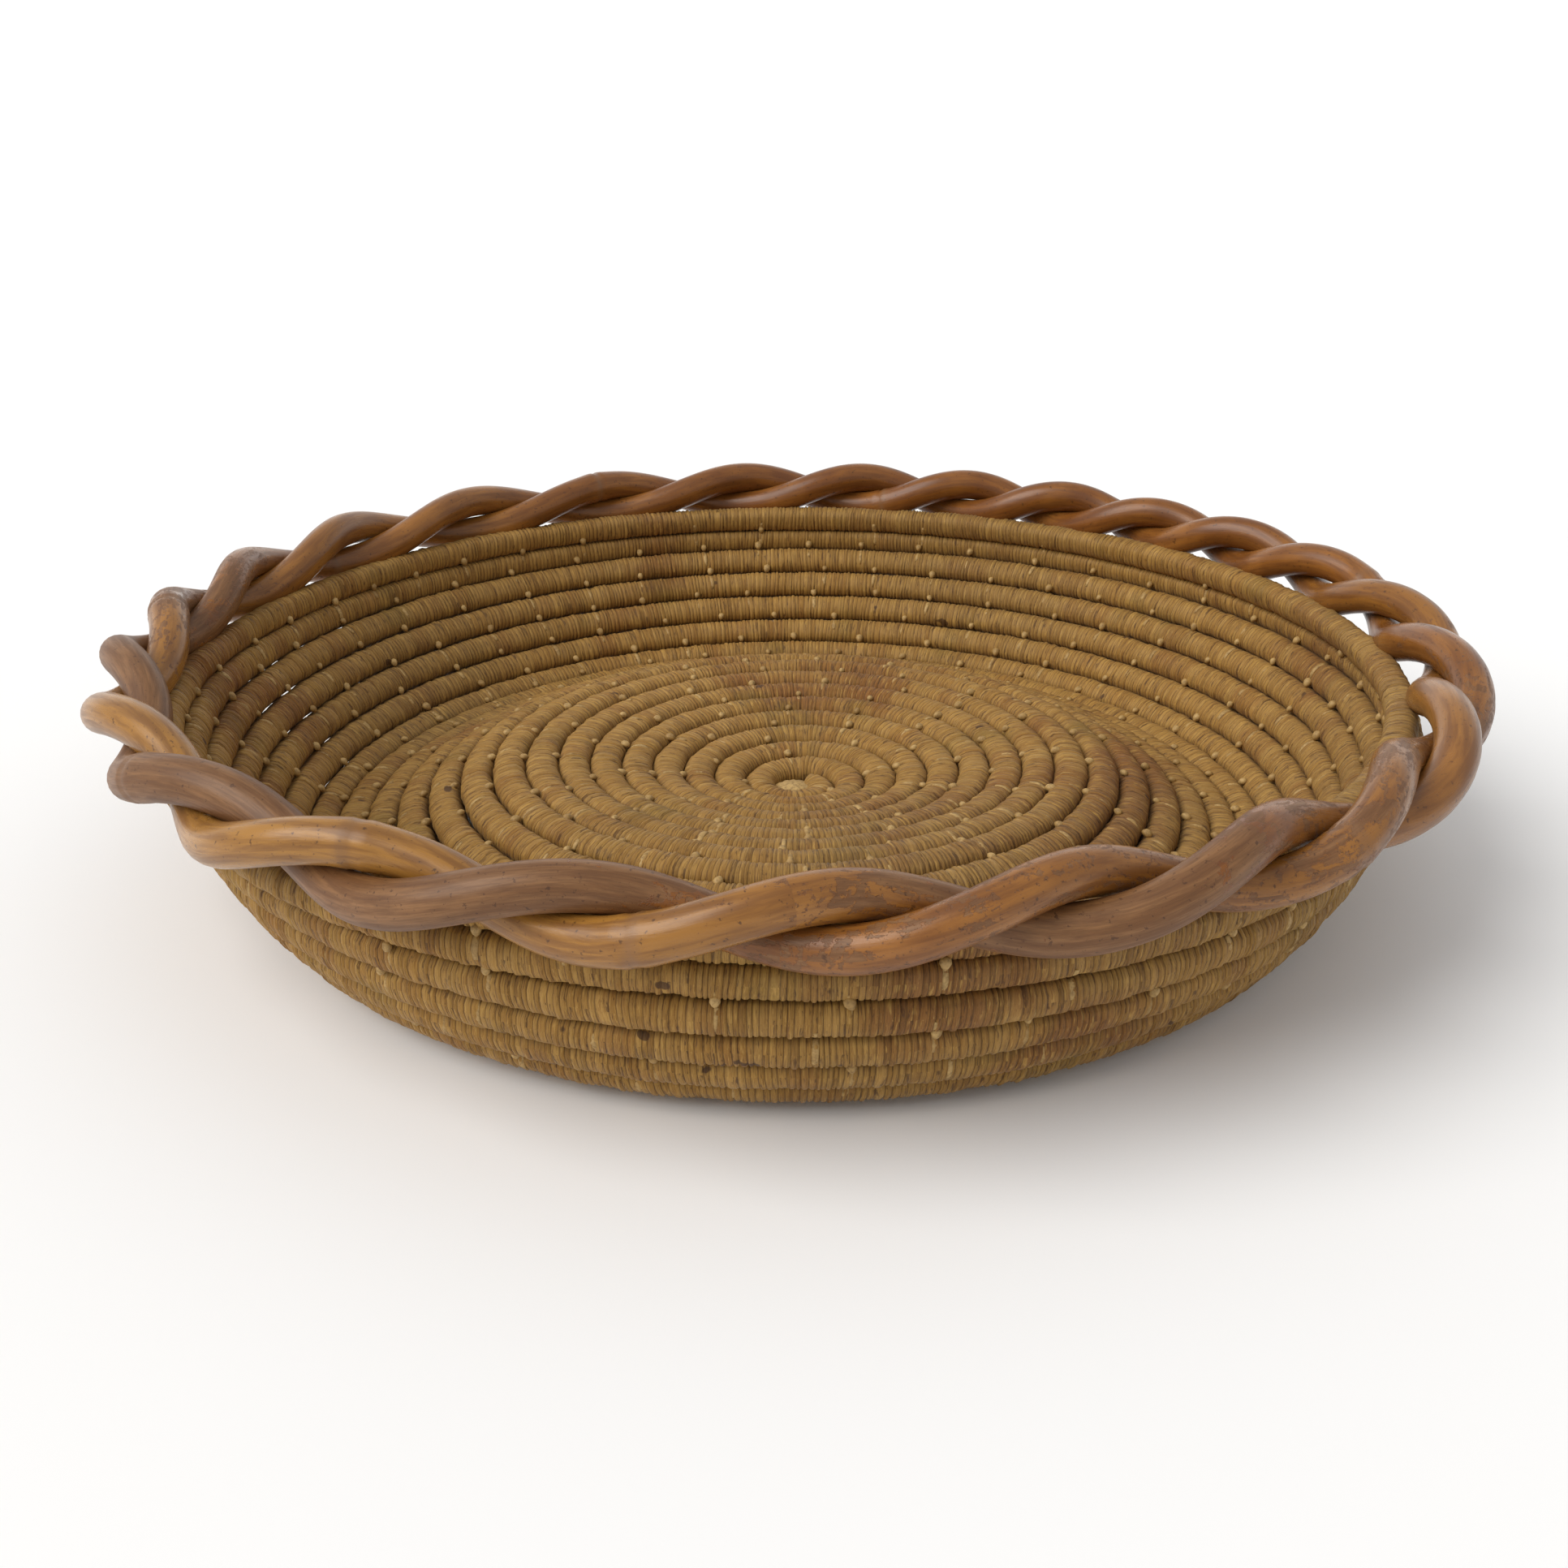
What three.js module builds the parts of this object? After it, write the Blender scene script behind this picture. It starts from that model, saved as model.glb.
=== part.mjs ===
// Coiled bread basket with a twisted cane rim. Millimetres, +Z up, the front of the basket faces -Y.
// The origin is on the resting plane, on the axis of the rim.
import * as THREE from 'three';

const COIL_TURNS = 22.12;        // whole coil, counted from the middle of the floor
const TURN_STEPS = 24;           // straight steps in one turn, the same in every turn
const COIL_SIDES = 8;
const COIL_WIDTH = 9.8;          // over the corners of the wrapped bundle
const TOP_COIL_WIDTH = 7.8;      // the last turn is thinner
const FLOOR_PITCH = 10.2;        // from one floor turn to the next
const WALL_PITCH = 10.6;         // from one wall turn to the next
const TOP_PITCH = 9.1;           // from the last wall turn to the thin top turn
const TOP_TURN = 21;             // turn at which the thin top turn starts
const TOP_BLEND = 0.2;           // turns over which it settles against the rim
const END_GAP = 0.3;             // between the end of one turn and the start of the next
const FIRST_TURN = 0.6;          // where the coil leaves the start knot
const KNOT_CLEARANCE = 0.4;

const BASE_HEIGHT = COIL_WIDTH / 2 * Math.cos(Math.PI / COIL_SIDES);
const MIDDLE_RISE = 4.5;         // the middle of the floor stands off the table
const RIDGE_RISE = 19;           // the floor is pushed up in a ring
const RIDGE_RADIUS = 88;
const BASE_RING_RADIUS = 148;    // the ring the basket rests on
const FOOT_TURN_SIDE = 14.8;     // turn at which the wall starts
const FOOT_TURN_FRONT = 16;
const WALL_SLOPE_SIDE = 54;      // degrees from level, reached soon after the foot
const WALL_SLOPE_FRONT = 35.5;   // degrees from level at the foot of the front wall
const WALL_SLOPE_GAIN = 10;      // degrees more for every turn of the front wall
const FLOOR_SHIFT = [3, -2.5];   // the floor lies off the axis of the rim, to the right and front
const SHIFT_TURNS = 12;          // turns below the top one over which that shift grows

const RIM_RADIUS = 201.2;
const RIM_HEIGHT = 66.7;
const CANE_WIDTH = 11.1;         // over the corners
const CANE_ORBIT = 6.0;          // centre of each cane from the middle of the twist
const CANE_SIDES = 8;
const CANE_STEPS = 120;
const RIM_TWISTS = 12;
const TWIST_PHASE = 100;         // degrees
const TWIST_WAVES = [[1, 52, 125], [2, 35, 80], [3, 17, 70]];   // unevenness: times round, size, place
const RIM_CLEARANCE = 0.1;       // between the top turn and the circle the canes sweep

const rad = THREE.MathUtils.degToRad;

// height of the floor's centre line at a radius
function floorHeight(radius) {
  if (radius >= BASE_RING_RADIUS) return BASE_HEIGHT;
  const inner = radius < RIDGE_RADIUS;
  if (inner) {
    const along = 1 - (1 - radius / RIDGE_RADIUS) ** 1.3;
    return BASE_HEIGHT + MIDDLE_RISE + (RIDGE_RISE - MIDDLE_RISE) * along;
  }
  const down = (BASE_RING_RADIUS - radius) / (BASE_RING_RADIUS - RIDGE_RADIUS);
  return BASE_HEIGHT + RIDGE_RISE * (1 - Math.cos(Math.PI * down)) / 2;
}

// radius and height of the coil's centre line, for a turn count and a share of "front"
function wallProfile(turn, front) {
  const foot = THREE.MathUtils.lerp(FOOT_TURN_SIDE, FOOT_TURN_FRONT, front);
  let radius = FLOOR_PITCH * Math.min(turn, foot);
  let height = floorHeight(radius);
  const climb = Math.max(turn - foot, 0);
  const pieces = Math.ceil(climb / 0.05);
  for (let i = 0; i < pieces; i += 1) {
    const at = climb * (i + 0.5) / pieces;
    const side = WALL_SLOPE_SIDE * (1 - Math.exp(-at / 0.7));
    const fore = (WALL_SLOPE_FRONT + WALL_SLOPE_GAIN * at) * (1 - Math.exp(-at / 0.3));
    const slope = rad(THREE.MathUtils.lerp(side, fore, front));
    radius += WALL_PITCH * climb / pieces * Math.cos(slope);
    height += WALL_PITCH * climb / pieces * Math.sin(slope);
  }
  return { radius, height };
}

// the top turn touches the turn below it and the circle swept by the canes, on its inner side
function againstRim(below) {
  const across = below.radius - RIM_RADIUS;
  const down = below.height - RIM_HEIGHT;
  const distance = Math.hypot(across, down);
  const reach = CANE_ORBIT + (CANE_WIDTH + TOP_COIL_WIDTH) / 2 + RIM_CLEARANCE;
  const along = distance > reach + TOP_PITCH ? distance - TOP_PITCH
    : (reach ** 2 - TOP_PITCH ** 2 + distance ** 2) / (2 * distance);
  const aside = Math.sqrt(Math.max(reach ** 2 - along ** 2, 0));
  return {
    radius: RIM_RADIUS + (along * across + aside * down) / distance,
    height: RIM_HEIGHT + (along * down - aside * across) / distance,
  };
}

// a point on the coil's centre line; it runs outward clockwise, seen from above
function coilPoint(turn, target) {
  const around = 2 * Math.PI * turn - Math.PI;
  const front = Math.max(-Math.cos(around), 0);
  const place = wallProfile(turn, front);
  if (turn > TOP_TURN) {
    const rest = againstRim(wallProfile(turn - 1, front));
    const settled = THREE.MathUtils.smoothstep(turn, TOP_TURN, TOP_TURN + TOP_BLEND);
    place.radius = THREE.MathUtils.lerp(place.radius, rest.radius, settled);
    place.height = THREE.MathUtils.lerp(place.height, rest.height, settled);
  }
  const shift = THREE.MathUtils.clamp((TOP_TURN - turn) / SHIFT_TURNS, 0, 1);
  return target.set(
    place.radius * Math.sin(around) + FLOOR_SHIFT[0] * shift,
    place.radius * Math.cos(around) + FLOOR_SHIFT[1] * shift,
    place.height,
  );
}

class CoilCurve extends THREE.Curve {
  constructor(from, to) {
    super();
    this.from = from;
    this.to = to;
  }

  getPoint(t, target = new THREE.Vector3()) {
    return coilPoint(this.from + (this.to - this.from) * t, target);
  }

  getUtoTmapping(u) {
    return u;
  }
}

class CaneCurve extends THREE.Curve {
  constructor(from, to, turnedBy) {
    super();
    this.from = from;
    this.to = to;
    this.turnedBy = turnedBy;
  }

  getPoint(t, target = new THREE.Vector3()) {
    const around = this.from + (this.to - this.from) * t;
    let twist = this.turnedBy + rad(TWIST_PHASE) - RIM_TWISTS * around;
    for (const [times, size, place] of TWIST_WAVES) {
      twist += rad(size) * Math.sin(times * around + rad(place));
    }
    const radius = RIM_RADIUS + CANE_ORBIT * Math.cos(twist);
    return target.set(
      radius * Math.sin(around),
      radius * Math.cos(around),
      RIM_HEIGHT + CANE_ORBIT * Math.sin(twist),
    );
  }

  getUtoTmapping(u) {
    return u;
  }
}

// an even-sided section with flats above and below
function section(width, sides) {
  const shape = new THREE.Shape();
  for (let i = 0; i < sides; i += 1) {
    const angle = 2 * Math.PI * (i + 0.5) / sides;
    const x = width / 2 * Math.cos(angle);
    const y = width / 2 * Math.sin(angle);
    if (i === 0) shape.moveTo(x, y);
    else shape.lineTo(x, y);
  }
  shape.closePath();
  return shape;
}

function rod(curve, width, sides, steps) {
  return new THREE.ExtrudeGeometry(section(width, sides), { steps, extrudePath: curve });
}

const group = new THREE.Group();
group.name = 'bread_basket';

function add(name, geometry, color, roughness) {
  const material = new THREE.MeshStandardMaterial({ color, roughness, metalness: 0 });
  const mesh = new THREE.Mesh(geometry, material);
  mesh.name = name;
  group.add(mesh);
}

// the folded start of the coil fills the space inside the first turn
const knotOutline = new THREE.Shape();
for (let i = 0; i < TURN_STEPS; i += 1) {
  const turn = FIRST_TURN + i / TURN_STEPS;
  const around = 2 * Math.PI * turn - Math.PI;
  const radius = FLOOR_PITCH * turn - COIL_WIDTH / 2 - KNOT_CLEARANCE;
  const x = radius * Math.sin(around) + FLOOR_SHIFT[0];
  const y = radius * Math.cos(around) + FLOOR_SHIFT[1];
  if (i === 0) knotOutline.moveTo(x, y);
  else knotOutline.lineTo(x, y);
}
knotOutline.closePath();
const knot = new THREE.ExtrudeGeometry(knotOutline, { depth: 2 * BASE_HEIGHT - 1, bevelEnabled: false });
knot.translate(0, 0, MIDDLE_RISE + 1);
add('coil_start_knot', knot, 0xa98a5a, 0.85);

const lastTurn = Math.floor(COIL_TURNS) - 1;
for (let n = 1; n <= lastTurn; n += 1) {
  const top = n === lastTurn;
  const length = 2 * Math.PI * FLOOR_PITCH * n;
  const from = n === 1 ? FIRST_TURN : n + END_GAP / length;
  const to = top ? COIL_TURNS : n + 1;
  const steps = Math.round(TURN_STEPS * (to - from));
  const width = top ? TOP_COIL_WIDTH : COIL_WIDTH;
  const geometry = rod(new CoilCurve(from, to), width, COIL_SIDES, steps);
  add(`coil_turn_${String(n).padStart(2, '0')}`, geometry, 0xb8935a, 0.8);
}

const caneGap = END_GAP / RIM_RADIUS;
add('rim_cane_a', rod(new CaneCurve(-Math.PI, Math.PI - caneGap, 0),
  CANE_WIDTH, CANE_SIDES, CANE_STEPS), 0xa06a3c, 0.4);
add('rim_cane_b', rod(new CaneCurve(-Math.PI, Math.PI - caneGap, Math.PI),
  CANE_WIDTH, CANE_SIDES, CANE_STEPS), 0x94704f, 0.45);

export default group;
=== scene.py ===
import math
import random

import bmesh
import bpy
import numpy as np
from mathutils import Matrix, Vector


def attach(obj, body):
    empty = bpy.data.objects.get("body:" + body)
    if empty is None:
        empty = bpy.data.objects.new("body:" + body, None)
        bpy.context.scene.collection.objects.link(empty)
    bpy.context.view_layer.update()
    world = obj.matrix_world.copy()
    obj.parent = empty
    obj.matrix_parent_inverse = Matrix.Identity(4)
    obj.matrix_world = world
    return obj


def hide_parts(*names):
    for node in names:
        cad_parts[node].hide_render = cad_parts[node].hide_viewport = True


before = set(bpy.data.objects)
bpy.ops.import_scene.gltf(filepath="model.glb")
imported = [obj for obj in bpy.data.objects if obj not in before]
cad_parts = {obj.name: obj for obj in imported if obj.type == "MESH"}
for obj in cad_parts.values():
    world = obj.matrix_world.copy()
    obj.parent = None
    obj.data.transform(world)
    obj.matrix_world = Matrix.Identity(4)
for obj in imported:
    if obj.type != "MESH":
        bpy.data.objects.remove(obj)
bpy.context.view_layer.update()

MM = 0.001
random.seed(7)
dice = np.random.default_rng(11)

# ---------------------------------------------------------------- the coil's lie, as in the CAD

FIRST_TURN = 0.6
TOP_TURN = 21.0
LAST_TURN = 22.12
FLOOR_PITCH = 10.2 * MM
WALL_PITCH = 10.6 * MM
TOP_PITCH = 9.1 * MM
TOP_BLEND = 0.2
BASE_HEIGHT = 4.53 * MM
MIDDLE_RISE = 4.5 * MM
RIDGE_RISE = 19 * MM
RIDGE_RADIUS = 88 * MM
BASE_RING_RADIUS = 148 * MM
FOOT_TURN_SIDE = 14.8
FOOT_TURN_FRONT = 16.0
WALL_SLOPE_SIDE = 54
WALL_SLOPE_FRONT = 35.5
WALL_SLOPE_GAIN = 10
FLOOR_SHIFT = (3 * MM, -2.5 * MM)
SHIFT_TURNS = 12

RIM_RADIUS = 201.2 * MM
RIM_HEIGHT = 66.7 * MM
RIM_REACH = 14.7 * MM
CANE_ORBIT = 5.95 * MM
CANE_RADIUS = 5.95 * MM
RIM_TWISTS = 12
TWIST_PHASE = 100
TWIST_WAVES = ((1, 52, 125), (2, 35, 80), (3, 17, 70))

UP = np.array([0.0, 0.0, 1.0])
FRAME_STEP = 0.002
SLOPE_PIECES = 60
ABOVE_TABLE = 0.05 * MM


def floor_height(radius):
    """Height of the coil's middle over the floor, which is pushed up in a ring."""
    inward = 1 - (1 - np.clip(radius / RIDGE_RADIUS, 0, 1)) ** 1.3
    down = np.clip((BASE_RING_RADIUS - radius) / (BASE_RING_RADIUS - RIDGE_RADIUS), 0, 1)
    dish = MIDDLE_RISE + (RIDGE_RISE - MIDDLE_RISE) * inward
    slope = RIDGE_RISE * (1 - np.cos(math.pi * down)) / 2
    return BASE_HEIGHT + np.where(radius < RIDGE_RADIUS, dish, slope)


def wall_profile(turn, front):
    """Radius and height of the coil's middle at a turn count, for a share of the front's shape."""
    foot = FOOT_TURN_SIDE + (FOOT_TURN_FRONT - FOOT_TURN_SIDE) * front
    radius = FLOOR_PITCH * np.minimum(turn, foot)
    height = floor_height(radius)
    climb = np.maximum(turn - foot, 0)
    for i in range(SLOPE_PIECES):
        at = climb * (i + 0.5) / SLOPE_PIECES
        side = WALL_SLOPE_SIDE * (1 - np.exp(-at / 0.7))
        fore = (WALL_SLOPE_FRONT + WALL_SLOPE_GAIN * at) * (1 - np.exp(-at / 0.3))
        slope = np.radians(side + (fore - side) * front)
        radius = radius + WALL_PITCH * climb / SLOPE_PIECES * np.cos(slope)
        height = height + WALL_PITCH * climb / SLOPE_PIECES * np.sin(slope)
    return radius, height


def against_rim(radius, height):
    """Where the top turn lies: on the turn below and against the circle the canes sweep."""
    across = radius - RIM_RADIUS
    down = height - RIM_HEIGHT
    distance = np.hypot(across, down)
    along = (RIM_REACH ** 2 - TOP_PITCH ** 2 + distance ** 2) / (2 * distance)
    along = np.where(distance > RIM_REACH + TOP_PITCH, distance - TOP_PITCH, along)
    aside = np.sqrt(np.maximum(RIM_REACH ** 2 - along ** 2, 0))
    return (RIM_RADIUS + (along * across + aside * down) / distance,
            RIM_HEIGHT + (along * down - aside * across) / distance)


def coil_middle(turn):
    """Points on the coil's middle line; it runs outward clockwise, seen from above."""
    turn = np.asarray(turn, dtype=float)
    around = 2 * math.pi * turn - math.pi
    front = np.maximum(-np.cos(around), 0)
    radius, height = wall_profile(turn, front)
    top_radius, top_height = against_rim(*wall_profile(turn - 1, front))
    settled = np.clip((turn - TOP_TURN) / TOP_BLEND, 0, 1)
    settled = settled * settled * (3 - 2 * settled)
    radius = radius + settled * (top_radius - radius)
    height = height + settled * (top_height - height)
    shift = np.clip((TOP_TURN - turn) / SHIFT_TURNS, 0, 1)
    return np.stack([
        radius * np.sin(around) + FLOOR_SHIFT[0] * shift,
        radius * np.cos(around) + FLOOR_SHIFT[1] * shift,
        height,
    ], axis=-1)


def unit(vectors):
    length = np.linalg.norm(vectors, axis=-1, keepdims=True)
    return vectors / length


def lie_frames(ahead, behind):
    """Direction of run, outward side and upper side, from points just ahead and just behind."""
    run = unit(ahead - behind)
    side = unit(np.cross(UP, run))
    return run, side, np.cross(run, side)


def coil_frames(turn):
    ahead = coil_middle(turn + FRAME_STEP)
    behind = coil_middle(turn - FRAME_STEP)
    return (coil_middle(turn),) + lie_frames(ahead, behind)


def smooth_noise(place, seed, scale):
    """Soft random waves along a line, between about -1 and 1."""
    wave = np.random.default_rng(seed)
    total = np.zeros_like(place)
    for octave in range(5):
        rate = (0.7 + 0.9 * octave) / scale * wave.uniform(0.8, 1.25)
        total += np.sin(2 * math.pi * (place * rate + wave.random())) / (1 + 0.5 * octave)
    return total / 2.2


# ---------------------------------------------------------------- tubes made from a rolled sheet

def rolled_tube(name, rings, wrap_place, painted_groove_shade, closed):
    """A tube: a flat sheet rolled round a line, with its seam joined and its ends filled."""
    count, sides = rings.shape[0], rings.shape[1]
    bm = bmesh.new()
    bmesh.ops.create_grid(bm, x_segments=count - 1, y_segments=sides, size=1)
    mesh = bpy.data.meshes.new(name)
    bm.to_mesh(mesh)
    bm.free()

    rolled = np.concatenate([rings, rings[:, :1]], axis=1).transpose(1, 0, 2)
    mesh.vertices.foreach_set("co", rolled.reshape(-1).astype(np.float32))
    corner = np.empty(len(mesh.loops), dtype=np.int32)
    mesh.loops.foreach_get("vertex_index", corner)
    lay = np.stack([wrap_place[corner % count], (corner // count) / sides], axis=-1)
    layer = mesh.uv_layers.new(name="lay")
    layer.data.foreach_set("uv", lay.reshape(-1).astype(np.float32))
    # painted shade of the grooves between rounds, stored on the points
    if painted_groove_shade is not None:
        rolled_painted_groove_shade = np.concatenate([painted_groove_shade, painted_groove_shade[:, :1]], axis=1).T.reshape(-1)
        shade = mesh.attributes.new("painted_groove_shade", "FLOAT", "POINT")
        shade.data.foreach_set("value", rolled_painted_groove_shade.astype(np.float32))

    bm = bmesh.new()
    bm.from_mesh(mesh)
    bmesh.ops.remove_doubles(bm, verts=bm.verts, dist=1e-7)
    if not closed:
        open_edges = [edge for edge in bm.edges if edge.is_boundary]
        bmesh.ops.holes_fill(bm, edges=open_edges, sides=sides + 2)
    bmesh.ops.recalc_face_normals(bm, faces=bm.faces)
    for face in bm.faces:
        face.smooth = True
    bm.to_mesh(mesh)
    bm.free()
    piece = bpy.data.objects.new(name, mesh)
    bpy.context.scene.collection.objects.link(piece)
    return piece


def smooth_object(bm, name):
    """Turns the bmesh into an object of the scene, smooth shaded, and frees it."""
    for face in bm.faces:
        face.smooth = True
    mesh = bpy.data.meshes.new(name)
    bm.to_mesh(mesh)
    bm.free()
    made = bpy.data.objects.new(name, mesh)
    bpy.context.scene.collection.objects.link(made)
    return made


def finish_piece(piece, slot, material, *nodes):
    """Gives a piece its material and its body, and hides the CAD nodes it stands for; the slot
    argument is not used.
    """
    piece.data.materials.clear()
    piece.data.materials.append(material)
    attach(piece, "root")
    if nodes:
        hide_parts(*nodes)


# ---------------------------------------------------------------- material helpers

def new_material(name):
    material = bpy.data.materials.new(name)
    material.use_nodes = True
    tree = material.node_tree
    return material, tree, tree.nodes["Principled BSDF"]


def add(tree, kind, **settings):
    node = tree.nodes.new(kind)
    for key, value in settings.items():
        setattr(node, key, value)
    return node


def link(tree, source, target):
    tree.links.new(source, target)


def maths(tree, operation, first, second=None, clamp=False):
    node = add(tree, "ShaderNodeMath", operation=operation, use_clamp=clamp)
    for socket, value in zip(node.inputs, (first, second)):
        if value is None:
            continue
        if isinstance(value, (int, float)):
            socket.default_value = value
        else:
            link(tree, value, socket)
    return node.outputs[0]


def span(tree, value, low, high, to_low=0.0, to_high=1.0):
    node = add(tree, "ShaderNodeMapRange", interpolation_type="SMOOTHSTEP")
    link(tree, value, node.inputs["Value"])
    node.inputs["From Min"].default_value = low
    node.inputs["From Max"].default_value = high
    node.inputs["To Min"].default_value = to_low
    node.inputs["To Max"].default_value = to_high
    return node.outputs["Result"]


def blend(tree, share, first, second, kind="MIX"):
    node = add(tree, "ShaderNodeMix", data_type="RGBA", blend_type=kind)
    sockets = (node.inputs[0], node.inputs[6], node.inputs[7])
    for socket, value in zip(sockets, (share, first, second)):
        if isinstance(value, (int, float)):
            socket.default_value = value
        elif isinstance(value, tuple):
            socket.default_value = value + (1.0,)
        else:
            link(tree, value, socket)
    return node.outputs[2]


def grain(tree, where, scale, detail=3.0, rough=0.5, stretch=(1, 1, 1), warp=0.0):
    mapping = add(tree, "ShaderNodeMapping")
    mapping.inputs["Scale"].default_value = stretch
    link(tree, where, mapping.inputs["Vector"])
    node = add(tree, "ShaderNodeTexNoise")
    node.inputs["Scale"].default_value = scale
    node.inputs["Detail"].default_value = detail
    node.inputs["Roughness"].default_value = rough
    node.inputs["Distortion"].default_value = warp
    link(tree, mapping.outputs[0], node.inputs["Vector"])
    return node.outputs["Fac"]


def raised(tree, shader, height, distance, strength=1.0, under=None):
    node = add(tree, "ShaderNodeBump")
    node.inputs["Strength"].default_value = strength
    node.inputs["Distance"].default_value = distance
    link(tree, height, node.inputs["Height"])
    if under is not None:
        link(tree, under, node.inputs["Normal"])
    link(tree, node.outputs[0], shader.inputs["Normal"])
    return node.outputs[0]


# ---------------------------------------------------------------- materials

STRAW = (0.37, 0.192, 0.036)
PALE_STRAW = (0.50, 0.29, 0.070)
WARM_STRAW = (0.26, 0.098, 0.013)
GREY_STRAW = (0.29, 0.18, 0.055)
GREEN_STRAW = (0.24, 0.16, 0.024)
# dark brown of the fibres, also used as painted shade in the grooves
FIBRE_AND_SHADE_BROWN = (0.07, 0.028, 0.007)
FIBRE_SHADE = (0.5, 0.4, 0.3)
KNOT_PALE = (0.49, 0.315, 0.110)
KNOT_TAN = (0.35, 0.205, 0.058)

LACQUER_DARK = (0.175, 0.054, 0.009)
LACQUER_LIGHT = (0.29, 0.110, 0.022)
LACQUER_GOLD = (0.37, 0.175, 0.034)
LACQUER_STREAK = (0.10, 0.030, 0.007)
BARE_DARK = (0.150, 0.062, 0.019)
BARE_LIGHT = (0.250, 0.118, 0.042)
BARE_THREAD = (0.070, 0.028, 0.009)
PATCH_EDGE = (0.15, 0.05, 0.015)
SPECK_BROWN = (0.06, 0.022, 0.007)
KNUCKLE_BROWN = (0.20, 0.10, 0.045)


def number_tone(tree, number):
    """A random value that stays the same for one wrap, or for one bunch of wraps."""
    tone = add(tree, "ShaderNodeTexWhiteNoise", noise_dimensions="1D")
    link(tree, number, tone.inputs["W"])
    return tone.outputs["Value"]


def wrapped_raffia():
    """Raffia wound round the bundle: fibres run with each wrap, wraps differ in tone; painted shade
    darkens the grooves between wraps and between rounds.
    """
    material, tree, shader = new_material("wrapped_raffia")
    place = add(tree, "ShaderNodeTexCoord").outputs["Object"]
    lay = add(tree, "ShaderNodeUVMap", uv_map="lay").outputs["UV"]
    split = add(tree, "ShaderNodeSeparateXYZ")
    link(tree, lay, split.inputs[0])
    along = split.outputs["X"]
    number = maths(tree, "FLOOR", along)
    across = maths(tree, "SUBTRACT", along, number)

    tone = number_tone(tree, number)
    second = number_tone(tree, maths(tree, "ADD", number, 0.37))
    bunch = number_tone(tree, maths(tree, "FLOOR", maths(tree, "MULTIPLY", along, 0.23)))

    patches = grain(tree, place, 14, 4, 0.6)
    drift = grain(tree, place, 33, 3, 0.55)
    age = grain(tree, place, 6, 2, 0.5)
    fibres = grain(tree, lay, 1.0, 5, 0.65, stretch=(9, 5, 1), warp=0.3)
    fine = grain(tree, lay, 1.0, 3, 0.7, stretch=(26, 9, 1))
    specks = grain(tree, place, 420, 4, 0.75)
    blots = grain(tree, place, 120, 1, 0.4)
    wisps = grain(tree, lay, 1.0, 4, 0.7, stretch=(1.9, 4.5, 1), warp=0.35)

    colour = blend(tree, span(tree, tone, 0.0, 1.0, 0.15, 0.75), STRAW, PALE_STRAW)
    colour = blend(tree, span(tree, bunch, 0.7, 0.98, 0, 0.4), colour, WARM_STRAW)
    colour = blend(tree, span(tree, patches, 0.54, 0.68, 0, 0.85), colour, WARM_STRAW)
    colour = blend(tree, span(tree, drift, 0.55, 0.75, 0, 0.45), colour, GREEN_STRAW)
    colour = blend(tree, span(tree, age, 0.45, 0.7, 0, 0.4), colour, GREY_STRAW)
    colour = blend(tree, span(tree, second, 0.9, 1.0, 0, 0.25), colour, FIBRE_AND_SHADE_BROWN)
    colour = blend(tree, span(tree, fibres, 0.35, 0.6, 0.42, 0), colour, WARM_STRAW, "MULTIPLY")
    colour = blend(tree, span(tree, fine, 0.3, 0.55, 0.35, 0), colour, FIBRE_SHADE, "MULTIPLY")
    colour = blend(tree, span(tree, specks, 0.60, 0.78, 0, 0.45), colour, FIBRE_AND_SHADE_BROWN)
    colour = blend(tree, span(tree, wisps, 0.56, 0.64, 0, 0.72), colour, FIBRE_AND_SHADE_BROWN)
    colour = blend(tree, span(tree, wisps, 0.46, 0.34, 0, 0.75), colour, PALE_STRAW)
    colour = blend(tree, span(tree, blots, 0.765, 0.785, 0, 0.85), colour, FIBRE_AND_SHADE_BROWN)

    # painted shade: each wrap darkens towards its two edges, in the grooves between wraps
    edge = maths(tree, "ABSOLUTE", maths(tree, "SUBTRACT", across, 0.5))
    gap = span(tree, edge, 0.36, 0.5)
    colour = blend(tree, maths(tree, "MULTIPLY", gap, 0.62), colour, FIBRE_AND_SHADE_BROWN)
    # painted shade: darker where the round meets the rounds beside it, in the grooves between them
    painted_groove_shade = add(tree, "ShaderNodeAttribute", attribute_name="painted_groove_shade").outputs["Fac"]
    colour = blend(tree, maths(tree, "MULTIPLY", painted_groove_shade, 0.6, clamp=True), colour, FIBRE_AND_SHADE_BROWN)
    link(tree, colour, shader.inputs["Base Color"])

    fibre_rough = span(tree, fibres, 0.3, 0.7, 0.66, 0.46)
    wrap_rough = span(tree, tone, 0, 1, 0.08, -0.06)
    link(tree, maths(tree, "ADD", fibre_rough, wrap_rough), shader.inputs["Roughness"])
    shader.inputs["Specular IOR Level"].default_value = 0.3
    shader.inputs["Sheen Weight"].default_value = 0.05
    shader.inputs["Sheen Roughness"].default_value = 0.5
    under = raised(tree, shader, fibres, 0.28 * MM, 1.0)
    raised(tree, shader, fine, 0.09 * MM, 0.8, under)
    return material


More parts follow.
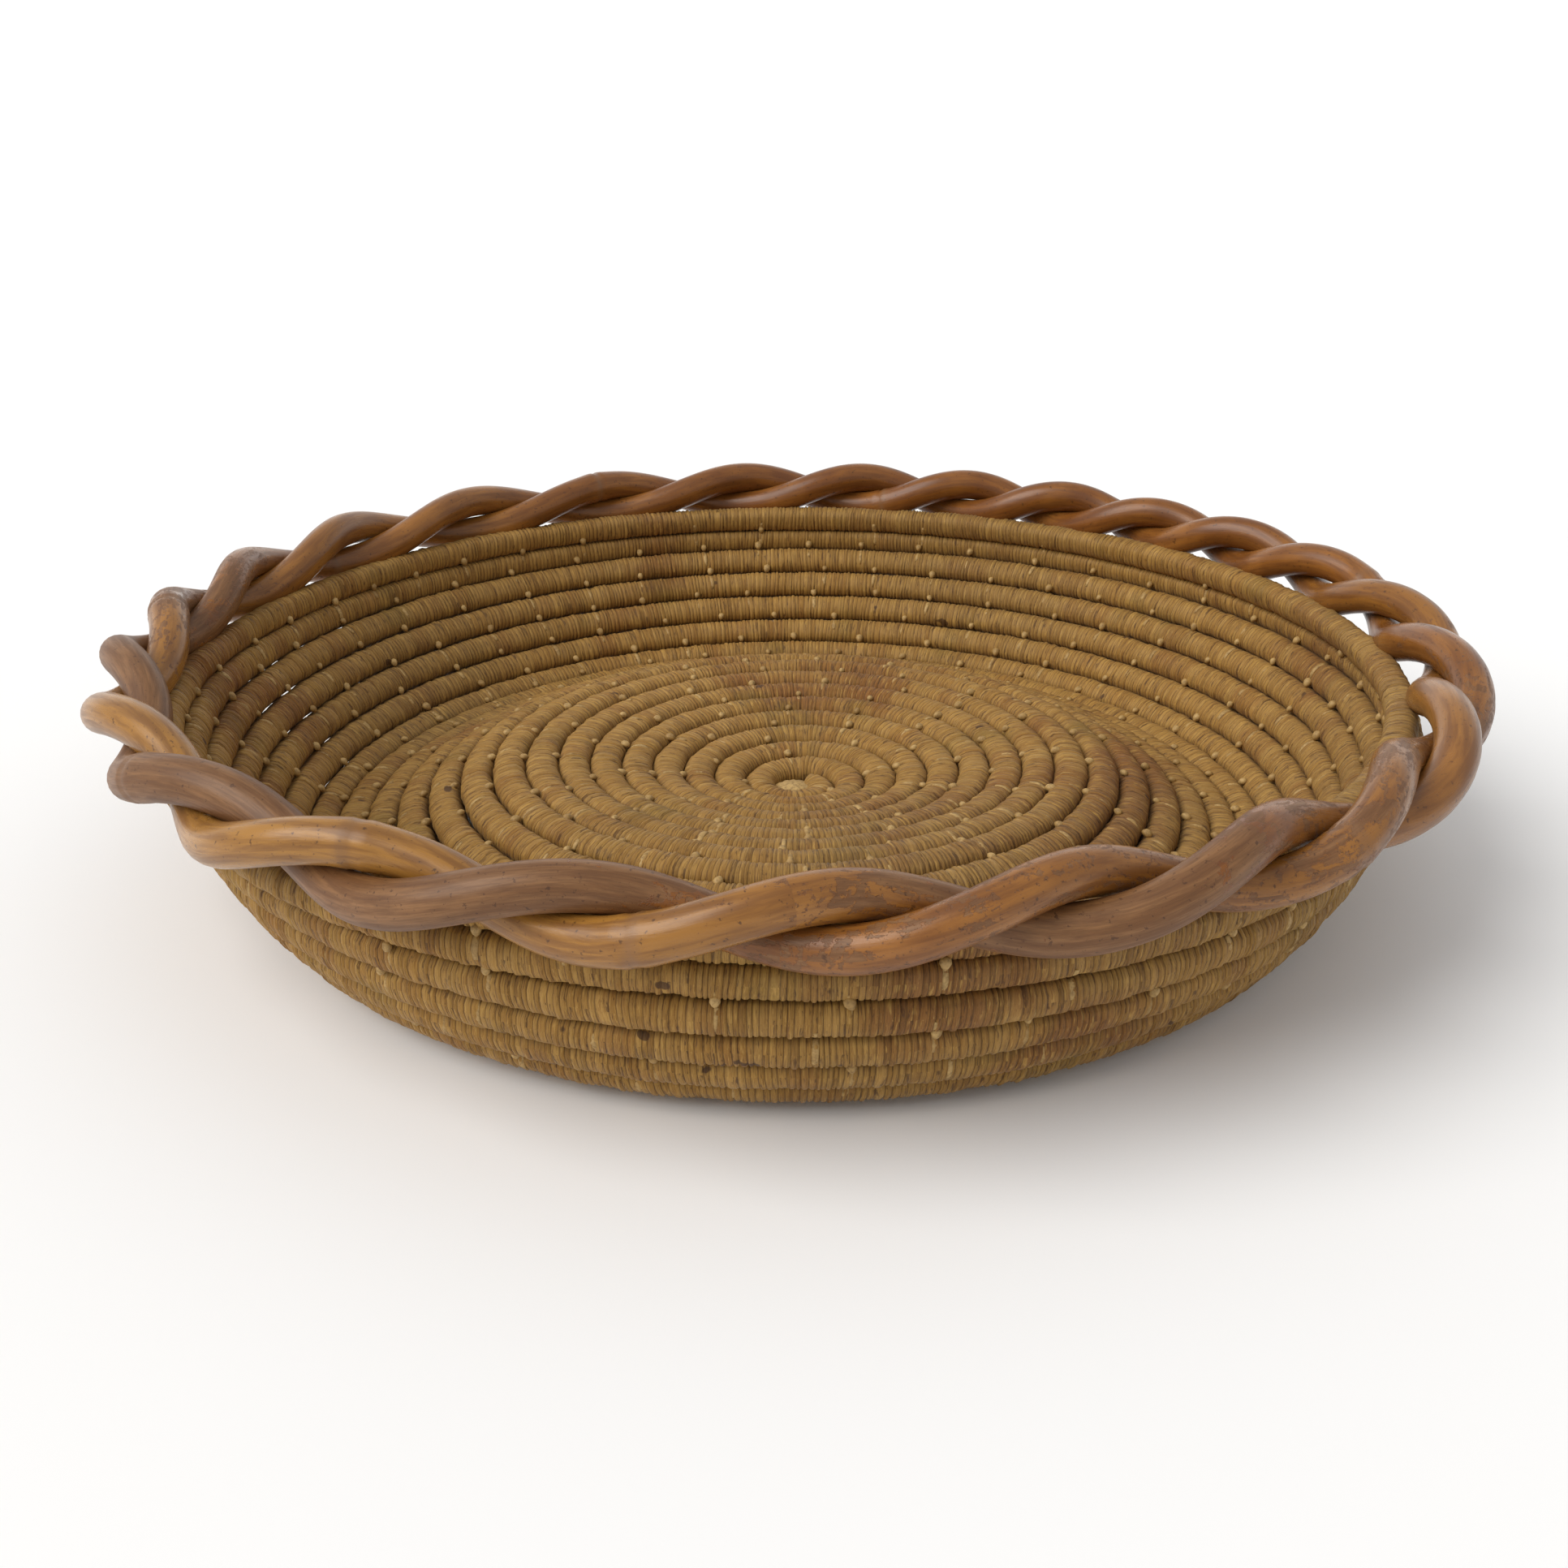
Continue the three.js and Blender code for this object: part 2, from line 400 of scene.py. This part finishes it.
def stitch_raffia():
    """Paler raffia of the tying stitches and the start knot."""
    material, tree, shader = new_material("stitch_raffia")
    place = add(tree, "ShaderNodeTexCoord").outputs["Object"]
    tone = grain(tree, place, 70, 3, 0.6)
    fibres = grain(tree, place, 900, 4, 0.7)
    colour = blend(tree, span(tree, tone, 0.35, 0.7), KNOT_PALE, KNOT_TAN)
    colour = blend(tree, span(tree, fibres, 0.3, 0.6, 0.5, 0), colour, FIBRE_AND_SHADE_BROWN)
    link(tree, colour, shader.inputs["Base Color"])
    link(tree, span(tree, fibres, 0.3, 0.7, 0.7, 0.5), shader.inputs["Roughness"])
    raised(tree, shader, fibres, 0.15 * MM, 0.8)
    return material


def lacquered_cane():
    """Rattan with an old orange lacquer, worn to bare wood in long ragged patches."""
    material, tree, shader = new_material("lacquered_cane")
    place = add(tree, "ShaderNodeTexCoord").outputs["Object"]
    lay = add(tree, "ShaderNodeUVMap", uv_map="lay").outputs["UV"]
    wear = add(tree, "ShaderNodeAttribute", attribute_name="wear").outputs["Fac"]
    gold = add(tree, "ShaderNodeAttribute", attribute_name="gold").outputs["Fac"]
    knuckle = add(tree, "ShaderNodeAttribute", attribute_name="knuckle").outputs["Fac"]

    streaks = grain(tree, lay, 1.0, 5, 0.6, stretch=(5, 14, 1), warp=0.3)
    threads = grain(tree, lay, 1.0, 4, 0.7, stretch=(14, 70, 1))
    peel = grain(tree, lay, 1.0, 5, 0.68, stretch=(9, 7, 1), warp=0.7)
    islands = grain(tree, place, 330, 4, 0.72, warp=0.6)
    clouds = grain(tree, place, 45, 3, 0.5)
    spots = grain(tree, place, 700, 3, 0.6)

    lacquer = blend(tree, span(tree, clouds, 0.35, 0.7), LACQUER_DARK, LACQUER_LIGHT)
    lacquer = blend(tree, gold, lacquer, LACQUER_GOLD)
    lacquer = blend(tree, span(tree, streaks, 0.35, 0.62, 0.55, 0), lacquer, LACQUER_STREAK)
    bare = blend(tree, span(tree, streaks, 0.35, 0.7), BARE_DARK, BARE_LIGHT)
    bare = blend(tree, span(tree, threads, 0.35, 0.6, 0.35, 0), bare, BARE_THREAD)

    limit = maths(tree, "SUBTRACT", 0.86, maths(tree, "MULTIPLY", wear, 0.62))
    long_patches = maths(tree, "MULTIPLY", peel, 0.62)
    short_patches = maths(tree, "MULTIPLY", islands, 0.38)
    mixed = maths(tree, "ADD", long_patches, short_patches)
    past = maths(tree, "SUBTRACT", mixed, limit)
    worn = span(tree, past, -0.008, 0.012)
    colour = blend(tree, worn, lacquer, bare)
    rim_of_patch = span(tree, maths(tree, "ABSOLUTE", past), 0.0, 0.02, 0.45, 0)
    colour = blend(tree, rim_of_patch, colour, PATCH_EDGE)
    colour = blend(tree, span(tree, spots, 0.62, 0.70, 0, 0.75), colour, SPECK_BROWN)
    colour = blend(tree, maths(tree, "MULTIPLY", knuckle, 0.75), colour, KNUCKLE_BROWN)
    link(tree, colour, shader.inputs["Base Color"])

    gloss = span(tree, streaks, 0.3, 0.7, 0.36, 0.24)
    rough = maths(tree, "ADD", gloss, maths(tree, "MULTIPLY", worn, 0.22))
    link(tree, rough, shader.inputs["Roughness"])
    shader.inputs["Specular IOR Level"].default_value = 0.36
    shader.inputs["Coat Weight"].default_value = 0.12
    shader.inputs["Coat Roughness"].default_value = 0.22
    thickness = maths(tree, "MULTIPLY", worn, -1.0)
    under = raised(tree, shader, thickness, 0.12 * MM, 0.7)
    raised(tree, shader, maths(tree, "ADD", streaks, threads), 0.12 * MM, 0.5, under)
    return material


def pale_board():
    """The matt, nearly white floor."""
    material, tree, shader = new_material("pale_board")
    place = add(tree, "ShaderNodeTexCoord").outputs["Object"]
    mottle = grain(tree, place, 3, 2, 0.5)
    colour = blend(tree, mottle, (0.90, 0.90, 0.90), (0.93, 0.93, 0.93))
    link(tree, colour, shader.inputs["Base Color"])
    shader.inputs["Roughness"].default_value = 0.8
    return material


# ---------------------------------------------------------------- the coil

ROUNDS = 21
COIL_SIDES = 16
MOST_WRAPS = 9500
WIDE_SHARE = 0.07
WRAP_WIDTH = 1.55 * MM
WIDE_WRAP = 2.6 * MM
STITCH_SPACING = 26 * MM
GROOVE_DEPTH = 0.30 * MM
FREE_RADIUS = 5.3 * MM
TOP_RADIUS = 4.7 * MM
SQUARENESS = 2.7
PRESSED = 0.15 * MM


class Coil:
    """The whole coil, measured along its run once, then cut into rounds."""

    def __init__(self):
        fine = np.linspace(FIRST_TURN, LAST_TURN, 24000)
        points = coil_middle(fine)
        steps = np.linalg.norm(np.diff(points, axis=0), axis=1)
        self.fine_turn = fine
        self.fine_run = np.concatenate([[0], np.cumsum(steps)])
        self.length = self.fine_run[-1]

    def run_at(self, turn):
        return np.interp(turn, self.fine_turn, self.fine_run)

    def turn_at(self, run):
        return np.interp(run, self.fine_run, self.fine_turn)

    def thickness(self, turn):
        """Radius of the wrapped bundle where nothing presses on it."""
        ease = np.clip((turn - TOP_TURN) / 0.08, 0, 1)
        radius = FREE_RADIUS + ease * (TOP_RADIUS - FREE_RADIUS)
        tail = np.clip((LAST_TURN - turn) / 0.03, 0, 1)
        return radius * (0.35 + 0.65 * np.sqrt(tail))


coil = Coil()


def stitch_places():
    """Run positions of the stitches that tie each round to the next one out."""
    places = []
    run = coil.run_at(FIRST_TURN) + 12 * MM
    stop = coil.run_at(LAST_TURN - 1.02)
    while run < stop:
        places.append(run)
        run += STITCH_SPACING * random.uniform(0.82, 1.18)
    return np.array(places)


stitches = stitch_places()


def wrap_layout():
    """Run position, wrap number and height above the bundle for every ring of the wrapping."""
    widths = dice.normal(WRAP_WIDTH, 0.3 * MM, MOST_WRAPS).clip(1.15 * MM, 2.4 * MM)
    wide = dice.random(MOST_WRAPS) < WIDE_SHARE
    widths[wide] = dice.normal(WIDE_WRAP, 0.3 * MM, wide.sum())
    edges = np.concatenate([[0], np.cumsum(widths)])
    edges = edges[edges < coil.length - 1 * MM]
    count = len(edges) - 1
    widths = widths[:count]
    proud = dice.normal(0, 0.12 * MM, count).clip(-0.22 * MM, 0.32 * MM)
    place, number, height = [], [], []
    shape = ((0.0, -GROOVE_DEPTH), (0.27, 0.02 * MM), (0.70, 0.05 * MM))
    for part, rise in shape:
        place.append(edges[:-1] + widths * part)
        number.append(np.arange(count) + part)
        depth = rise if part == 0 else rise + proud
        height.append(np.broadcast_to(depth, count))
    order = np.argsort(np.concatenate(place), kind="stable")
    return tuple(np.concatenate(group)[order] for group in (place, number, height))


def neighbour(turn, side, upper, other_turn):
    """Angle round the section at which a neighbouring round lies, and half the way to it."""
    away = coil_middle(other_turn) - coil_middle(turn)
    angle = np.arctan2((away * upper).sum(axis=1), (away * side).sum(axis=1))
    return angle, np.linalg.norm(away, axis=1) / 2


def pressed(ring, angle, target, half_way, present):
    """The section is flattened where it meets a neighbouring round."""
    facing = np.cos(angle[None, :] - target[:, None])
    limit = (half_way[:, None] + PRESSED) / np.maximum(facing, 0.3)
    return np.where((facing > 0.3) & present[:, None], np.minimum(ring, limit), ring)


def near_angle(angle, target, width):
    gap = np.angle(np.exp(1j * (angle[None, :] - target[:, None])))
    return np.exp(-(gap / width) ** 2)


def bundle_radius(place, turn, height):
    """Radius of the coil: ridged by every wrap, uneven, drawn in a little at every stitch."""
    radius = coil.thickness(turn) + height
    radius = radius + 0.16 * MM * smooth_noise(place, 3, 0.045)
    radius = radius + 0.10 * MM * smooth_noise(place, 4, 0.016)

    # each stitch pulls in the round it leaves and the round it ties to
    for offset in (0, 1):
        tied = coil.run_at(coil.turn_at(stitches) + offset)
        nearest = np.abs(place[:, None] - tied[None, :]).min(axis=1)
        radius = radius - 0.07 * MM * np.exp(-(nearest / (2.0 * MM)) ** 2)
    return radius


def squared(ring, angle, axis):
    """A round section made a little square, with flats towards and away from its neighbours."""
    leaning = angle[None, :] - axis[:, None]
    corner = np.abs(np.cos(leaning)) ** SQUARENESS + np.abs(np.sin(leaning)) ** SQUARENESS
    return ring / corner ** (1 / SQUARENESS)


def placed_rings(points, side, upper, ring, angle):
    """Points of each section, at its radius and angle round the line."""
    return (
        points[:, None, :]
        + side[:, None, :] * (ring * np.cos(angle)[None, :])[:, :, None]
        + upper[:, None, :] * (ring * np.sin(angle)[None, :])[:, :, None]
    )


def coil_rings(place, turn, height):
    """Every ring of points along the whole coil, and how much painted shade lies on each point,
    darkest where the neighbouring rounds meet it.
    """
    points, run, side, upper = coil_frames(turn)
    radius = bundle_radius(place, turn, height)
    angle = np.linspace(0, 2 * math.pi, COIL_SIDES, endpoint=False)
    has_outer = turn < LAST_TURN - 1
    has_inner = turn > FIRST_TURN + 0.9
    outward, to_outer = neighbour(turn, side, upper, np.minimum(turn + 1, LAST_TURN))
    inward, to_inner = neighbour(turn, side, upper, np.maximum(turn - 1, FIRST_TURN))
    # painted shade towards each neighbouring round, in the groove where the two meet
    painted_groove_shade = near_angle(angle, outward, 0.45) * has_outer[:, None]
    painted_groove_shade = np.maximum(painted_groove_shade, near_angle(angle, inward, 0.45) * has_inner[:, None])

    slant = 0.55 * MM * smooth_noise(place, 8, 0.09)
    oval = 0.02 * smooth_noise(place, 9, 0.12)
    ring = radius[:, None] * (1 + oval[:, None] * np.cos(2 * angle)[None, :])
    ring = squared(ring, angle, np.where(has_outer, outward, inward))
    groove = np.minimum(height, 0)
    ring = pressed(ring, angle, outward, to_outer + groove, has_outer)
    ring = pressed(ring, angle, inward, to_inner + groove, has_inner)
    along = slant[:, None] * np.sin(angle)[None, :]
    rings = placed_rings(points, side, upper, ring, angle) + run[:, None, :] * along[:, :, None]
    rings[:, :, 2] = np.maximum(rings[:, :, 2], ABOVE_TABLE)
    return rings, painted_groove_shade


def wrapped_coil(material):
    """The coil, cut into one piece for each round."""
    place, number, height = wrap_layout()
    turn = coil.turn_at(place)
    # the rings and the painted shade of the grooves between rounds
    rings, painted_groove_shade = coil_rings(place, turn, height)
    inner_cuts = [int(np.searchsorted(turn, n)) for n in range(2, ROUNDS + 1)]
    cuts = [0] + inner_cuts + [len(turn) - 1]
    for n in range(1, ROUNDS + 1):
        start = cuts[n - 1]
        stop = cuts[n] + 1
        lay = number[start:stop] - math.floor(number[start]) + 13 * n
        name = f"coil_round_{n:02d}"
        piece = rolled_tube(name, rings[start:stop], lay, painted_groove_shade[start:stop], False)
        finish_piece(piece, "raffia", material, f"coil_turn_{n:02d}")


KNOT_HALF_SIZE = (8.4 * MM, 8.0 * MM, 5.2 * MM)
KNOT_REACH = 8.2 * MM
KNOT_FOLD = 0.35 * MM
KNOT_MIDDLE = (
    FLOOR_SHIFT[0] - 1.2 * MM,
    FLOOR_SHIFT[1] + 0.3 * MM,
    BASE_HEIGHT + MIDDLE_RISE + 1 * MM,
)


def start_knot(material):
    """The folded start of the bundle, bound tight in the middle of the floor."""
    bm = bmesh.new()
    bmesh.ops.create_uvsphere(bm, u_segments=40, v_segments=14, radius=1)
    bmesh.ops.scale(bm, vec=Vector(KNOT_HALF_SIZE), verts=bm.verts)
    for vert in bm.verts:
        around = math.atan2(vert.co.y, vert.co.x)
        reach = math.hypot(vert.co.x, vert.co.y) / KNOT_REACH
        vert.co.z += KNOT_FOLD * math.sin(11 * around + 5 * reach) * reach
    bmesh.ops.translate(bm, vec=Vector(KNOT_MIDDLE), verts=bm.verts)
    bmesh.ops.recalc_face_normals(bm, faces=bm.faces)
    piece = smooth_object(bm, "start_knot")
    finish_piece(piece, "raffia", material, "coil_start_knot")


# ---------------------------------------------------------------- the tying stitches

FIRST_WALL_TURN = 14.6
UNDERSIDE_SHARE = 0.7
BEAD_HALF_LENGTH = 1.25 * MM
BEAD_HALF_HEIGHT = 1.7 * MM
BEAD_HALF_DEPTH = 1.2 * MM


def bead_frame(middle, along, over, face, size):
    """Where a knot sits: its three half axes and its middle, as one transform."""
    axes = (along * BEAD_HALF_LENGTH * size, over * BEAD_HALF_HEIGHT * size,
            face * BEAD_HALF_DEPTH * size)
    knot = Matrix.Identity(4)
    for i, axis in enumerate(axes):
        for j in range(3):
            knot[j][i] = axis[j]
    knot.translation = middle
    return knot


def strap(bm, base, across, face, run, radius, start, sweep, width):
    """A flat strand lying on a round, from its groove towards its crest; closed all round."""
    made = bmesh.ops.create_grid(bm, x_segments=5, y_segments=2, size=1)["verts"]
    faces = list({face for vert in made for face in vert.link_faces})
    lower = bmesh.ops.extrude_face_region(bm, geom=faces)["geom"]
    made += [part for part in lower if isinstance(part, bmesh.types.BMVert)]
    below = set(made[len(made) // 2:])
    lean = random.uniform(-0.5, 0.5) * MM
    for vert in made:
        t = (vert.co.x + 1) / 2
        w = vert.co.y
        angle = start + sweep * t
        lift = radius + (0.30 - 0.12 * abs(w) - 0.30 * t * t) * MM
        if vert in below:
            lift -= 0.5 * MM
        half = width * (0.42 + 0.58 * math.sin(math.pi * min(0.25 + 0.65 * t, 1)))
        offset = across * math.cos(angle) * lift + face * math.sin(angle) * lift
        vert.co = base + offset + run * (w * half / 2 + lean * t)


def groove_frame(turn):
    """Middle of the groove between a round and the next, with its local directions."""
    pair = coil_middle(np.array([turn, turn + 1]))
    ahead = coil_middle(np.array([turn, turn + 1]) + FRAME_STEP)
    first = Vector(pair[0])
    second = Vector(pair[1])
    run = (Vector(ahead[0]) - first).normalized()
    across = second - first
    across = (across - run * across.dot(run)).normalized()
    face = run.cross(across).normalized()
    if face.z < 0:
        face = -face
    return first, second, run, across, face


def tie(bm, turn, inside):
    """One stitch: a small pale knot on the groove and a strand over the round it left."""
    first, second, run, across, face = groove_frame(turn)
    if not inside:
        face = -face
    radii = coil.thickness(np.array([turn, min(turn + 1, LAST_TURN - 0.04)]))
    size = random.uniform(0.8, 1.15)
    if inside or random.random() < 0.6:
        middle = (first + second) / 2 + face * radii[0] * random.uniform(0.70, 0.84)
        middle += across * random.uniform(0.5, 1.4) * MM
        roll = random.uniform(-0.4, 0.4)
        along = run * math.cos(roll) + across * math.sin(roll)
        over = across * math.cos(roll) - run * math.sin(roll)
        knot = bead_frame(middle, along, over, face, size)
        bead = bmesh.ops.create_uvsphere(bm, u_segments=8, v_segments=5, radius=1)["verts"]
        for vert in bead:
            vert.co.x *= 1.05 + 0.35 * vert.co.y
        bmesh.ops.transform(bm, matrix=knot, verts=bead)
    width = random.uniform(1.2, 1.9) * MM
    strap(bm, first, across, face, run, radii[0], 0.5, random.uniform(0.7, 1.7), width)
    if not inside:
        strap(bm, second, -across, face, run, radii[1], 0.5, random.uniform(0.5, 1.2), width)


def tying_stitches(material):
    """All stitches, in one piece each for the floor, the wall and the outside."""
    groups = {"floor_stitches": [], "wall_stitches": [], "underside_stitches": []}
    for run in stitches:
        turn = float(coil.turn_at(run))
        group = "floor_stitches" if turn < FIRST_WALL_TURN else "wall_stitches"
        groups[group].append((turn, True))
        if random.random() < UNDERSIDE_SHARE:
            nudge = random.uniform(-0.002, 0.002)
            groups["underside_stitches"].append((turn + nudge, False))
    for name, ties in groups.items():
        bm = bmesh.new()
        for turn, inside in ties:
            tie(bm, turn, inside)
        bmesh.ops.recalc_face_normals(bm, faces=bm.faces)
        for vert in bm.verts:
            vert.co.z = max(vert.co.z, ABOVE_TABLE)
        piece = smooth_object(bm, name)
        finish_piece(piece, "raffia", material)


# ---------------------------------------------------------------- the cane rim

CANE_SIDES = 22
CANE_RINGS = 900
CANE_LAY_LENGTH = 0.1


def cane_middle(around, turned_by, seed):
    """Points on a cane's middle line, which winds round the rim's circle."""
    twist = turned_by + math.radians(TWIST_PHASE) - RIM_TWISTS * around
    for times, size, place in TWIST_WAVES:
        twist = twist + math.radians(size) * np.sin(times * around + math.radians(place))
    sway = 0.3 * MM * np.sin(5 * around + seed) + 0.2 * MM * np.sin(9 * around + 2 * seed)
    radius = RIM_RADIUS + CANE_ORBIT * np.cos(twist) + sway
    height = RIM_HEIGHT + CANE_ORBIT * np.sin(twist) + 0.25 * MM * np.sin(7 * around + 3 * seed)
    return np.stack([radius * np.sin(around), radius * np.cos(around), height], axis=-1)


def soft_stops(around, stops):
    """A value that passes through (angle in degrees, value) stops round the rim."""
    angles = np.radians([stop[0] for stop in stops])
    values = [stop[1] for stop in stops]
    return np.interp(around, angles, values, period=2 * math.pi)


def cane(name, node, turned_by, seed, knuckles, wear_stops, gold_stops, material):
    """One closed cane, swollen and grooved at its knuckles, with its wear and gold painted on."""
    around = np.linspace(-math.pi, math.pi, CANE_RINGS + 1)
    points = cane_middle(around, turned_by, seed)
    points[-1] = points[0]
    ahead = cane_middle(around + FRAME_STEP, turned_by, seed)
    behind = cane_middle(around - FRAME_STEP, turned_by, seed)
    run, side, upper = lie_frames(ahead, behind)
    radius = CANE_RADIUS * (1 + 0.03 * np.sin(3 * around + seed) + 0.015 * np.sin(11 * around + seed))
    knuckle = np.zeros_like(around)
    for place in np.radians(knuckles):
        gap = np.angle(np.exp(1j * (around - place))) * RIM_RADIUS
        radius = radius + 0.42 * MM * np.exp(-(gap / (4.5 * MM)) ** 2)
        radius = radius - 0.50 * MM * np.exp(-(gap / (0.9 * MM)) ** 2)
        knuckle = np.maximum(knuckle, np.exp(-(gap / (1.1 * MM)) ** 2))
    angle = np.linspace(0, 2 * math.pi, CANE_SIDES, endpoint=False)
    lobes = 1 + 0.02 * np.cos(2 * angle[None, :] + 3 * around[:, None] + seed)
    ring = radius[:, None] * lobes
    rings = placed_rings(points, side, upper, ring, angle)
    piece = rolled_tube(name, rings, around * RIM_RADIUS / CANE_LAY_LENGTH, None, True)
    for key, stops in (("wear", wear_stops), ("gold", gold_stops)):
        paint(piece, key, lambda turn, stops=stops: soft_stops(turn, stops))
    paint(piece, "knuckle", lambda turn: np.interp(turn, around, knuckle))
    finish_piece(piece, "cane", material, node)


def paint(piece, key, value_round):
    """Stores a value that depends on the angle round the rim on each point of the piece."""
    mesh = piece.data
    spots = np.empty(len(mesh.vertices) * 3, dtype=np.float32)
    mesh.vertices.foreach_get("co", spots)
    spots = spots.reshape(-1, 3)
    around = np.arctan2(spots[:, 0], spots[:, 1])
    layer = mesh.attributes.new(key, "FLOAT", "POINT")
    layer.data.foreach_set("value", value_round(around).astype(np.float32))


def cane_rim(material):
    """Both canes; each pair of numbers is an angle round the rim and a share there."""
    cane("cane_rim_first", "rim_cane_a", 0, 0.4, (-171, -151, -90, -24, 41, 104), (
        (-168, 0.2), (-139, 0.1), (-111, 0.35), (-86, 0.65), (-56, 0.2), (-21, 0.35), (9, 0.1),
        (35, 0.15), (59, 0.2), (90, 0.45), (122, 0.3), (146, 0.55), (162, 0.85), (178, 0.5),
    ), (
        (-168, 0.85), (-139, 1.0), (-111, 0.9), (-86, 0.4), (-56, 0.45), (-21, 0.15), (9, 0.1),
        (59, 0.15), (90, 0.5), (122, 0.45), (150, 0.1), (170, 0.2),
    ), material)
    cane("cane_rim_second", "rim_cane_b", math.pi, 2.1, (-128, -60, 12, 77, 141), (
        (-153, 0.95), (-121, 0.95), (-101, 0.85), (-70, 0.5), (-42, 0.2), (-4, 0.15), (46, 0.1),
        (72, 0.2), (108, 0.55), (146, 0.55), (176, 0.5),
    ), (
        (-153, 0.1), (-101, 0.2), (-42, 0.3), (0, 0.1), (90, 0.15), (146, 0.45), (176, 0.15),
    ), material)


# ---------------------------------------------------------------- build

raffia = wrapped_raffia()
stitch = stitch_raffia()
wrapped_coil(raffia)
start_knot(stitch)
tying_stitches(stitch)
cane_rim(lacquered_cane())

# ---------------------------------------------------------------- floor, light and camera

CAMERA_DISTANCE = 0.5169
CAMERA_RISE = 0.1658
CAMERA_PITCH = 22.94
CAMERA_YAW = 0.16
SENSOR_WIDTH = 36
LENS_LENGTH = 38.403727
FLOOR_HALF_WIDTH = 5
SWEEP_START = 2.0
SWEEP_RISE = 0.6
SKY_STRENGTH = 0.6
WINDOW_TOWARDS = (-0.62, -0.30, 0.72)
WINDOW_SPREAD = 48
WINDOW_POWER = 2.2
WINDOW_COLOUR = (1.0, 0.985, 0.96)


def scenery():
    """A pale floor that sweeps up behind the basket."""
    bm = bmesh.new()
    bmesh.ops.create_grid(bm, x_segments=1, y_segments=60, size=FLOOR_HALF_WIDTH)
    for vert in bm.verts:
        vert.co.z = SWEEP_RISE * max(vert.co.y - SWEEP_START, 0) ** 1.5
    ground = smooth_object(bm, "floor")
    ground.data.materials.append(pale_board())


def soft_light(name, towards, spread, power, colour):
    """A broad, far lamp that shines from a direction."""
    lamp = bpy.data.lights.new(name, "SUN")
    lamp.angle = math.radians(spread)
    lamp.energy = power
    lamp.color = colour
    holder = bpy.data.objects.new(name, lamp)
    holder.rotation_euler = Vector(towards).to_track_quat("Z", "Y").to_euler()
    bpy.context.scene.collection.objects.link(holder)


def lights():
    world = bpy.data.worlds.new("studio")
    world.use_nodes = True
    sky = world.node_tree.nodes["Background"]
    sky.inputs["Color"].default_value = (1.0, 1.0, 1.0, 1.0)
    sky.inputs["Strength"].default_value = SKY_STRENGTH
    bpy.context.scene.world = world
    bpy.context.scene.view_settings.view_transform = "Standard"
    soft_light("window", WINDOW_TOWARDS, WINDOW_SPREAD, WINDOW_POWER, WINDOW_COLOUR)


def camera():
    lens = bpy.data.cameras.new("camera")
    lens.sensor_width = SENSOR_WIDTH
    lens.lens = LENS_LENGTH
    lens.clip_start = 0.01
    eye = bpy.data.objects.new("camera", lens)
    eye.location = (0, -CAMERA_DISTANCE, RIM_HEIGHT + CAMERA_RISE)
    eye.rotation_euler = (math.radians(90 - CAMERA_PITCH), 0, math.radians(CAMERA_YAW))
    bpy.context.scene.collection.objects.link(eye)
    bpy.context.scene.camera = eye


scenery()
lights()
camera()
